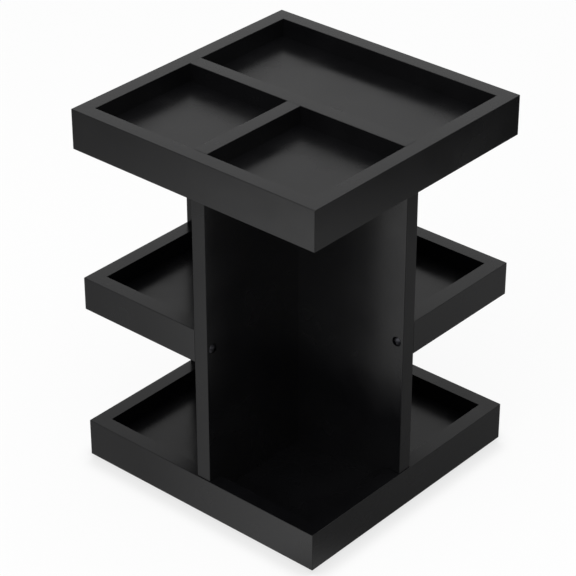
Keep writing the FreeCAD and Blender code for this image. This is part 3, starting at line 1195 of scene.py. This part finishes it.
def rounded(path: Sequence[Point2], radius: float, steps: int) -> list[Point2]:
    """Rounds the corners of an open path.

    Args:
        path: The path's points.
        radius: The bends' radius, less where the runs are short.
        steps: The facets of each bend.

    Returns:
        The rounded path.
    """
    # The most of a run that one bend takes
    most = 0.48
    result = [path[0]]
    for before, corner, after in zip(path, path[1:], path[2:]):
        here = Vector(corner)
        a, b = Vector(before) - here, Vector(after) - here
        reach = min(radius / math.tan(a.angle(b) / 2), most * a.length, most * b.length)
        start, end = here + a.normalized() * reach, here + b.normalized() * reach
        for t in (i / steps for i in range(steps + 1)):
            result.append(tuple(start * (1 - t) ** 2 + here * 2 * t * (1 - t) + end * t ** 2))
    return [*result, path[-1]]


def parallel(path: Sequence[Point2], distance: float) -> list[Point2]:
    """Follows a path at a distance to its left.

    Args:
        path: The path's points.
        distance: How far the other path lies away.

    Returns:
        The other path, with a point for each.
    """
    runs = [(Vector(b) - Vector(a)).normalized() for a, b in pairwise(path)]
    normals = [Vector((-run.y, run.x)) for run in runs]
    result = []
    for point, back, ahead in zip(path, normals[:1] + normals, normals + normals[-1:]):
        shift = (back + ahead) / (1 + back.dot(ahead))
        result.append(tuple(Vector(point) + shift * distance))
    return result


@dataclass
class Turntable:
    """Two plates pressed from zinc-plated sheet, and a caged ring of balls between them."""

    sheet: float = 1 * MM
    corner_r: float = 8 * MM
    corner_steps: int = 8
    ball_d: float = 4.8 * MM
    ball_detail: int = 4
    track_r: float = 25 * MM
    race_gap: float = 0.25 * MM
    lip_rise: float = 1.3 * MM
    web_run: float = 2.5 * MM
    web_margin: float = 2 * MM
    eye_r: float = 13 * MM
    hook_gap: float = 0.4 * MM
    hook_overlap: float = 3 * MM
    bend_r: float = 1.0 * MM
    bend_steps: int = 5
    hole_d: float = 3.9 * MM
    hole_inset: float = 11 * MM
    hole_sides: int = 24
    sides: int = 128
    cage_pocket: float = 5.2 * MM
    pocket_sides: int = 32
    cage_width: float = 8 * MM
    cage_soft: float = 0.25 * MM

    def __post_init__(self) -> None:
        """Reads the turntable's height and width from its CAD nodes."""
        low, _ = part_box("turntable_lower_plate")
        _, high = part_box("turntable_upper_plate")
        self.middle = Matrix.Translation(UP * (low.z + high.z) / 2)
        self.height = high.z - low.z
        self.half = high.x

    def race(self) -> list[Point2]:
        """Draws the ball side of a plate from its lip to its flat, above the balls' level.

        Returns:
            The (radius, height) points.
        """
        clear = self.ball_d / 2 + self.race_gap
        crown = clear * math.tan(math.pi / 8)
        foot = crown + clear - self.lip_rise
        web = self.track_r + foot + self.web_run
        flat = self.height / 2 - self.sheet
        return [
            (self.track_r - foot, self.lip_rise), (self.track_r - crown, clear),
            (self.track_r + crown, clear), (self.track_r + foot, self.lip_rise),
            (web, flat), (web + self.web_margin, flat),
        ]

    def rims(self) -> list[list[Point2]]:
        """Draws a plate's round-cornered outline and the rims of its four screw holes.

        Returns:
            The closed outlines.
        """
        outline = []
        reach = self.half - self.corner_r
        for corner, (sx, sy) in enumerate(((1, 1), (-1, 1), (-1, -1), (1, -1))):
            for i in range(self.corner_steps + 1):
                angle = math.pi / 2 * (corner + i / self.corner_steps)
                outline.append((sx * reach + self.corner_r * math.cos(angle),
                                sy * reach + self.corner_r * math.sin(angle)))
        away = self.half - self.hole_inset
        return [outline, *(circle(self.hole_d / 2, self.hole_sides, x * away, y * away)
                           for x in (-1, 1) for y in (-1, 1))]

    def plate(self, path: list[Point2]) -> BMesh:
        """Presses a plate whose formed middle follows a path, above the balls' level.

        Args:
            path: The ball side of the section, from the eye outwards.

        Returns:
            The closed plate.
        """
        inner = rounded(path, self.bend_r, self.bend_steps)
        section = inner[::-1] + parallel(inner, self.sheet)
        bm = bmesh.new()
        rows = [[bm.verts.new((x, y, z)) for x, y in circle(r, self.sides)] for r, z in section]
        join_rows(bm, rows)
        faces = []
        for level, ring in ((section[0][1], rows[0]), (section[-1][1], rows[-1])):
            loops = [[bm.verts.new((x, y, level)) for x, y in rim] for rim in self.rims()]
            edges = [bm.edges.new(ends) for loop in loops for ends in zip(loop, loop[1:] + loop[:1])]
            edges += [bm.edges.get(ends) for ends in zip(ring, ring[1:] + ring[:1])]
            bmesh.ops.triangle_fill(bm, use_beauty=True, use_dissolve=False, edges=edges)
            faces.append(loops)
        for loops in zip(*faces):
            join_rows(bm, loops)
        bmesh.ops.recalc_face_normals(bm, faces=bm.faces)
        return bm

    def plates(self) -> None:
        """Makes the plate that turns, with a lip round its eye, and the one with the hooked collar."""
        collar = self.eye_r + self.sheet
        hook_z = -(self.lip_rise + self.sheet + self.hook_gap)
        lip = [(collar + self.hook_gap, self.lip_rise)]
        hook = [(collar + self.hook_gap + self.hook_overlap, hook_z), (collar, hook_z),
                (collar, self.lip_rise)]
        plans = (("upper", "carousel", lip, Matrix()),
                 ("lower", "foot", hook, Matrix.Rotation(math.pi, 4, "X")))
        for level, body, eye, turn in plans:
            node = f"turntable_{level}_plate"
            plate = self.plate(eye + self.race())
            plate.transform(self.middle @ turn)
            dressed(smoothed(to_object(plate, f"{node}_pressed")), ZINC_SHEET, body, node)

    def balls(self) -> None:
        """Makes the ring of balls, one on the middle of each CAD ball."""
        tree, given = new_tree("balls on spots", {"Ball diameter": "Float", "Subdivisions": "Int"})
        radius = add(tree, "ShaderNodeMath", (given["Ball diameter"], 0.5), operation="MULTIPLY")
        ball = add(tree, "GeometryNodeMeshIcoSphere",
                   {"Radius": radius, "Subdivisions": given["Subdivisions"]})
        close_tree(tree, copied(tree, given["Geometry"], ball), given["Material"])
        group = spot_object("turntable_balls_lapped", middles_of("turntable_balls"))
        run_tree(group, tree, {"Ball diameter": self.ball_d, "Subdivisions": self.ball_detail,
                               "Material": BALL_STEEL.material()})
        group.data.shade_smooth()
        dressed(group, BALL_STEEL, "ball_ring", "turntable_balls")

    def cage(self) -> None:
        """Makes the moulded ring that keeps the balls apart, with a round pocket for each."""
        low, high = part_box("turntable_ball_cage")
        height = high.z - low.z
        top, soft = height / 2, self.cage_soft
        outer, inner = self.track_r + self.cage_width / 2, self.track_r - self.cage_width / 2
        section = [
            (inner, -top + soft), (inner + soft, -top), (outer - soft, -top), (outer, -top + soft),
            (outer, top - soft), (outer - soft, top), (inner + soft, top), (inner, top - soft),
        ]
        ring = revolved(section, self.sides)
        ring.transform(self.middle)
        cage = to_object(ring, "turntable_ball_cage_moulded")
        tree, given = new_tree("pockets on spots", {"Spots": "Object", "Pocket diameter": "Float",
                                                    "Pocket depth": "Float"})
        radius = add(tree, "ShaderNodeMath", (given["Pocket diameter"], 0.5), operation="MULTIPLY")
        punch = add(tree, "GeometryNodeMeshCylinder", {"Vertices": self.pocket_sides, "Radius": radius,
                                                       "Depth": given["Pocket depth"]}, "Mesh")
        spots = add(tree, "GeometryNodeObjectInfo", {"Object": given["Spots"]}, "Geometry")
        punched = add(tree, "GeometryNodeMeshBoolean",
                      {"Mesh 1": given["Geometry"], "Mesh 2": copied(tree, spots, punch)},
                      operation="DIFFERENCE", solver="EXACT")
        close_tree(tree, punched, given["Material"])
        marks = spot_object("pockets", middles_of("turntable_balls"))
        run_tree(cage, tree, {"Spots": marks, "Pocket diameter": self.cage_pocket,
                              "Pocket depth": 4 * height, "Material": NYLON.material()})
        bpy.data.objects.remove(marks)
        dressed(smoothed(cage), NYLON, "ball_ring", "turntable_ball_cage")

    def build(self) -> None:
        """Makes the plates, the balls and their cage."""
        for make in (self.plates, self.balls, self.cage):
            make()


@dataclass
class Foot:
    """The round board that stays put, with four rubber pads under it.

    The ribs' sizes are shares of the step from one to the next. The ring round them starts and
    has its full height at shares of the pad's edge, inwards from the rim.
    """

    rim_r: float = 1.5 * MM
    rim_steps: int = 5
    sides: int = 160
    access_hole: float = 14 * MM
    access_reach: float = 56.6 * MM
    access_sides: int = 48
    pilot: float = 3.9 * MM
    pilot_depth: float = 4 * MM
    pilot_reach: float = 40 * MM
    pad_edge: float = 0.6 * MM
    pad_soft: float = 0.2 * MM
    rib_depth: float = 0.35 * MM
    rib_count: int = 4
    rib_start: float = 0.35
    rib_flank: float = 0.12
    rib_width: float = 0.62
    ring_start: float = 1.6
    ring_crest: float = 1.5

    def board(self) -> None:
        """Makes the board, with a rounded rim, the access hole and the plate's pilot holes."""
        low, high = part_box("foot_board")
        rim = high.x - self.rim_r
        profile = Profile().to((0, low.z))
        for level, start in ((low.z + self.rim_r, -90), (high.z - self.rim_r, 0)):
            profile.arc((rim, level), self.rim_r, start, start + 90, self.rim_steps)
        profile.to((0, high.z))
        solid = revolved([(radius, z) for radius, z, _ in profile.points], self.sides)
        board = to_object(solid, "foot_board_turned")
        hole = bore(Vector((self.access_reach, 0, low.z)), UP, self.access_hole, 2 * (high.z - low.z),
                    self.access_sides)
        mouths = [Vector((x * self.pilot_reach, y * self.pilot_reach, high.z))
                  for x in (-1, 1) for y in (-1, 1)]
        carved(board, [hole, *(bore(mouth, -UP, self.pilot, self.pilot_depth) for mouth in mouths)])
        dressed(smoothed(board), LACQUER, "foot", "foot_board")

    def pads(self) -> None:
        """Makes the pads, with a soft edge and rings of ribs under them."""
        pad = loose_parts("foot_pads")[0]
        radius = (max(p.x for p in pad) - min(p.x for p in pad)) / 2
        height = max(p.z for p in pad)
        edge, deep, soft = self.pad_edge, self.rib_depth, self.pad_soft
        step = (radius - 2 * edge) / self.rib_count
        profile = Profile().to((0, deep))
        flank, width = self.rib_flank * step, self.rib_width * step
        for start in (step * (i + self.rib_start) for i in range(self.rib_count)):
            profile.to((start, deep), (start + flank, 0), (start + width - flank, 0),
                       (start + width, deep))
        profile.to((radius - self.ring_start * edge, deep), (radius - self.ring_crest * edge, 0))
        profile.arc((radius - edge, edge), edge, -90, 0, steps=4)
        profile.to((radius, height - soft), (radius - soft, height), (0, height))
        TurnedPieces("foot_pads", "foot", RUBBER, sides=48).build(profile, "moulded")

    def build(self) -> None:
        """Makes the board and its pads."""
        self.board()
        self.pads()


# Studio


class Ramp(NamedTuple):
    """A strength that goes from one level to another between two places."""

    start: float
    end: float
    first: float
    last: float


@dataclass
class Studio:
    """The camera, the soft lights, and the pale floor and background.

    The contact shade is a painted shade: how white the camera sees the table, by the share of the sky
    that is hidden there. The other ramps set how bright the table, with its painted light and shade,
    and the background are in the object's gloss, by a distance in metres and, for the sky, by a
    height from 0 to 1.
    """

    camera_at: Vector
    target: Vector
    lens: float
    aim: Vector = field(default_factory=lambda: Vector((0, 0, 0.18)))
    toward_camera: Point3 = (0.656, -0.755, 0.0)
    to_the_right: Point3 = (0.755, 0.656, 0.0)
    floor_half: float = 6.0
    floor_depth: float = 2 * MM
    floor_colour: str = "#f2f2f2"
    white: str = "#ffffff"
    table_white: float = 0.9
    contact_reach: float = 22 * MM
    contact_shade: Ramp = Ramp(0.0, 0.45, 1.0, 0.84)
    world_strength: float = 0.25
    sky: Ramp = Ramp(0.1, 0.6, 1.0, 0.42)
    side_gloss: float = 0.22
    side_spread: Point2 = (0.1, 0.6)
    lit: Ramp = Ramp(0.06, 0.25, 0.38, 0.97)
    lit_end: Point2 = (0.72, 0.95)
    lit_far: float = 0.27
    shaded: Ramp = Ramp(0.1, 0.6, 0.16, 0.35)
    shaded_end: Point2 = (0.6, 0.8)
    shaded_far: float = 0.05
    shade_border: Point2 = (-0.05, 0.08)

    def facing(self, name: str, data: Camera | Light, at: Vector, target: Vector) -> Object:
        """Stands a camera or a lamp at a place and turns it to another.

        Args:
            name: The object's name.
            data: The camera or the lamp.
            at: Where it stands.
            target: What it faces.

        Returns:
            The object.
        """
        made = linked(name, data)
        made.location = at
        made.rotation_euler = (target - at).to_track_quat("-Z", "Y").to_euler()
        return made

    def camera(self) -> None:
        """Stands the camera beyond the near corner, from where it looks down on the object."""
        data = bpy.data.cameras.new("camera")
        data.lens = self.lens
        data.sensor_width = 36.0
        data.clip_end = 100.0
        bpy.context.scene.camera = self.facing("camera", data, self.camera_at, self.target)

    def lamp(self, name: str, at: Vector, size: float, power: float) -> None:
        """Hangs a square softbox that faces the object.

        Args:
            name: The lamp's name.
            at: Where it hangs.
            size: The side of its square.
            power: Its power in watts.
        """
        data = bpy.data.lights.new(name, "AREA")
        data.shape = "SQUARE"
        data.size = size
        data.energy = power
        self.facing(name, data, at, self.aim)

    def mirrored(self, tree: NodeTree) -> NodeSocket:
        """Tells whether a ray comes from a gloss or a clear body."""
        ray = add(tree, "ShaderNodeLightPath").node.outputs
        return add(tree, "ShaderNodeMath", (ray["Is Glossy Ray"], ray["Is Transmission Ray"]),
                   operation="MAXIMUM")

    def world(self) -> None:
        """Makes a white background that lights the object only a little.

        A gloss shows it white low down behind and in front of the object, and dimmer overhead
        and at the sides.
        """
        world = bpy.data.worlds.new("studio")
        bpy.context.scene.world = world
        tree = emptied(world)
        way = add(tree, "ShaderNodeTexCoord", output="Generated")
        height = add(tree, "ShaderNodeSeparateXYZ", (way,), "Z")
        sky = add(tree, "ShaderNodeMapRange", (height, *self.sky))
        ahead = add(tree, "ShaderNodeVectorMath", (way, self.toward_camera), "Value",
                    operation="DOT_PRODUCT")
        off_side = add(tree, "ShaderNodeMath", (ahead,), operation="ABSOLUTE")
        backdrop = add(tree, "ShaderNodeMapRange", (off_side, *self.side_spread, self.side_gloss, sky),
                       interpolation_type="SMOOTHSTEP")
        gloss = add(tree, "ShaderNodeMapRange",
                    (self.mirrored(tree), 0.0, 1.0, self.world_strength, backdrop))
        seen = add(tree, "ShaderNodeLightPath", output="Is Camera Ray")
        strength = add(tree, "ShaderNodeMath", (gloss, seen), operation="MAXIMUM")
        back = add(tree, "ShaderNodeBackground", (linear(self.white), strength))
        add(tree, "ShaderNodeOutputWorld", (back,))

    def table_glow(self, tree: NodeTree) -> NodeSocket:
        """Sets how bright the table is in the object's gloss, as painted light and shade.

        It is brightest at the front left, carries a painted shade where the object's shade falls to the
        right, and dims away from the object.

        Args:
            tree: The floor's material tree.

        Returns:
            The glow's strength.
        """
        place = add(tree, "ShaderNodeTexCoord", output="Object")
        front, side = (add(tree, "ShaderNodeVectorMath", (place, way), "Value", operation="DOT_PRODUCT")
                       for way in (self.toward_camera, self.to_the_right))
        away = add(tree, "ShaderNodeVectorMath", (place,), "Value", operation="LENGTH")
        # Painted light at the front left and painted shade to the right, which only the object's gloss
        # shows
        lit = add(tree, "ShaderNodeMapRange", (front, *self.lit))
        left = add(tree, "ShaderNodeMapRange", (away, *self.lit_end, lit, self.lit_far))
        shaded = add(tree, "ShaderNodeMapRange", (side, *self.shaded))
        right = add(tree, "ShaderNodeMapRange", (side, *self.shaded_end, shaded, self.shaded_far))
        return add(tree, "ShaderNodeMapRange", (side, *self.shade_border, left, right),
                   interpolation_type="SMOOTHSTEP")

    def table_shade(self, tree: NodeTree) -> NodeSocket:
        """Paints the narrow shade round the object's foot, where the table sees little of the room.

        Args:
            tree: The floor's material tree.

        Returns:
            The table's white, 1 in the open.
        """
        # Painted contact shade: the table's emission darkens where occlusion finds the object close by
        open_sky = add(tree, "ShaderNodeAmbientOcclusion", {"Distance": self.contact_reach}, "AO",
                       samples=16)
        hidden = add(tree, "ShaderNodeMath", (1.0, open_sky), operation="SUBTRACT")
        return add(tree, "ShaderNodeMapRange", (hidden, *self.contact_shade),
                   interpolation_type="SMOOTHSTEP")

    def floor(self) -> None:
        """Makes a pale floor that keeps the object's shadow, with a painted contact shade for the camera
        and a painted glow of light and shade for the object's gloss.
        """
        half, depth = self.floor_half, self.floor_depth
        floor = to_object(block((-half, -half, -depth), (half, half, 0)), "studio_floor")
        material = bpy.data.materials.new("paper_sweep_matte")
        tree = emptied(material)
        paper = add(tree, "ShaderNodeBsdfDiffuse", (linear(self.floor_colour),))
        white, glow = (add(tree, "ShaderNodeEmission", (linear(self.white), strength))
                       for strength in (self.table_shade(tree), self.table_glow(tree)))
        seen = add(tree, "ShaderNodeLightPath", output="Is Camera Ray")
        whitened = add(tree, "ShaderNodeMath", (seen, self.table_white), operation="MULTIPLY")
        shadowed = add(tree, "ShaderNodeMixShader", (whitened, paper, white))
        mixed = add(tree, "ShaderNodeMixShader", (self.mirrored(tree), shadowed, glow))
        add(tree, "ShaderNodeOutputMaterial", (mixed,))
        floor.data.materials.append(material)

    def build(self) -> None:
        """Sets up the whole studio."""
        bpy.context.scene.view_settings.view_transform = "Standard"
        self.camera()
        self.world()
        self.floor()
        self.lamp("key", Vector((0.7, -2.5, 2.8)), size=4.5, power=125.0)
        self.lamp("top", Vector((0.3, 0.5, 3.2)), size=4.0, power=60.0)


def main() -> None:
    """Builds the sub-assemblies in order, and then the studio."""
    logging.basicConfig(level=logging.INFO, format="%(name)s: %(message)s")
    pan = {"head_d": 7.2 * MM, "shank_d": 3.6 * MM, "pitch": 1.35 * MM, "pan_h": 2.2 * MM}
    assemblies = [
        Tray("base"), Uprights(), Shelves("right_shelf"), Tray("top"), Dividers(), ShelfFasteners(),
        WoodScrews("base_screws", "carousel"), WoodScrews("turntable_upper_screws", "carousel", **pan),
        WoodScrews("turntable_lower_screws", "foot", **pan), Turntable(), Foot(),
    ]
    for assembly in assemblies:
        log.info("building %s", type(assembly).__name__)
        assembly.build()
    Studio(camera_at=Vector((1.2018, -1.3944, 1.2818)), target=Vector((-0.0041, -0.0072, 0.1819)),
           lens=145.6).build()


if __name__ == "__main__":
    main()
